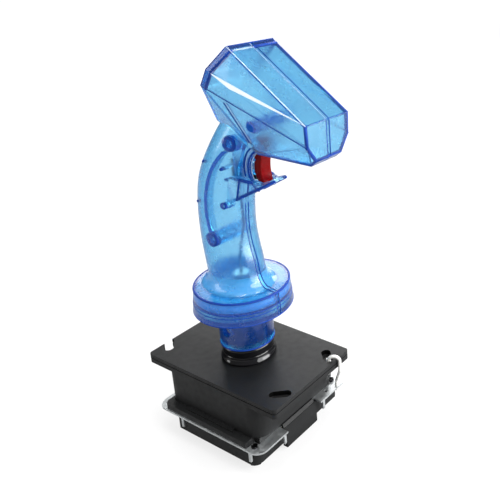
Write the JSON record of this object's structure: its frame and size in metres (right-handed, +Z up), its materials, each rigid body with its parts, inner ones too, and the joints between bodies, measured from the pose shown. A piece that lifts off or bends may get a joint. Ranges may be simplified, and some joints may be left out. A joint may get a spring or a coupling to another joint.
{
  "type": "flight stick",
  "caption": "Panel-mounted flight stick: translucent pistol-grip handle with faceted hood and trigger on a spring-centred lever over a switch base.",
  "frame": {"origin": "centre of the base's underside, on the axis of the upright stick", "axes": "+Z up along the upright stick, +X the way the hood and the trigger point, +Y to the far side"},
  "size_m": [0.1286, 0.08, 0.2508],
  "materials": {
    "black_plastic": "satin",
    "black_gloss": "gloss",
    "zinc_steel": "bright zinc",
    "blue_shell": "translucent gloss",
    "red_plastic": "gloss",
    "nylon": "satin",
    "brass_blade": "satin",
    "white_cable": "satin",
    "dark_cable": "satin"
  },
  "bodies": {
    "base": {"top_plate": "black_plastic", "housing": "black_plastic", "bearing_cup": "nylon", "bearing_cap": "nylon", "steel_frame": "zinc_steel", "switch_tray": "black_plastic", "gate_plate": "black_plastic", "bottom_cover": "black_plastic", "switch_front": "black_plastic", "switch_left": "black_plastic", "switch_back": "black_plastic", "switch_right": "black_plastic", "switch_tabs": "zinc_steel", "switch_plungers": "red_plastic", "switch_terminals": "brass_blade", "frame_screws": "zinc_steel", "dust_boot": "black_gloss", "white_lead": "white_cable"},
    "cross_pin": {"cross_pin": "zinc_steel"},
    "lever": {"stick_shaft": "zinc_steel", "pivot_ball": "nylon", "shaft_clip": "zinc_steel", "actuator": "nylon", "centring_spring": "zinc_steel", "grip_right": "blue_shell", "grip_left": "blue_shell", "grip_screws": "zinc_steel", "trigger_pin": "zinc_steel", "trigger_switch": "black_plastic", "trigger_plunger": "black_plastic", "trigger_spring": "zinc_steel", "trigger_wires": "dark_cable"},
    "trigger": {"trigger": "red_plastic"}
  },
  "joints": [
    {"name": "stick_pitch", "type": "hinge", "parent": "base", "child": "cross_pin", "pos_m": [0, 0, 0.0384], "axis": [0, 1, 0], "range_deg": [-9, 9], "stiffness_Nm_per_rad": 3, "deforming": ["dust_boot", "centring_spring"]},
    {"name": "stick_roll", "type": "hinge", "parent": "cross_pin", "child": "lever", "pos_m": [0, 0, 0.0384], "axis": [1, 0, 0], "range_deg": [-9, 9], "stiffness_Nm_per_rad": 3, "deforming": ["dust_boot", "centring_spring"]},
    {"name": "trigger_pull", "type": "hinge", "parent": "lever", "child": "trigger", "pos_m": [0.0276, 0, 0.1966], "axis": [0, 1, 0], "range_deg": [0, 10], "stiffness_Nm_per_rad": 0.2, "springref_deg": -5.73, "deforming": ["trigger_spring"]}
  ]
}
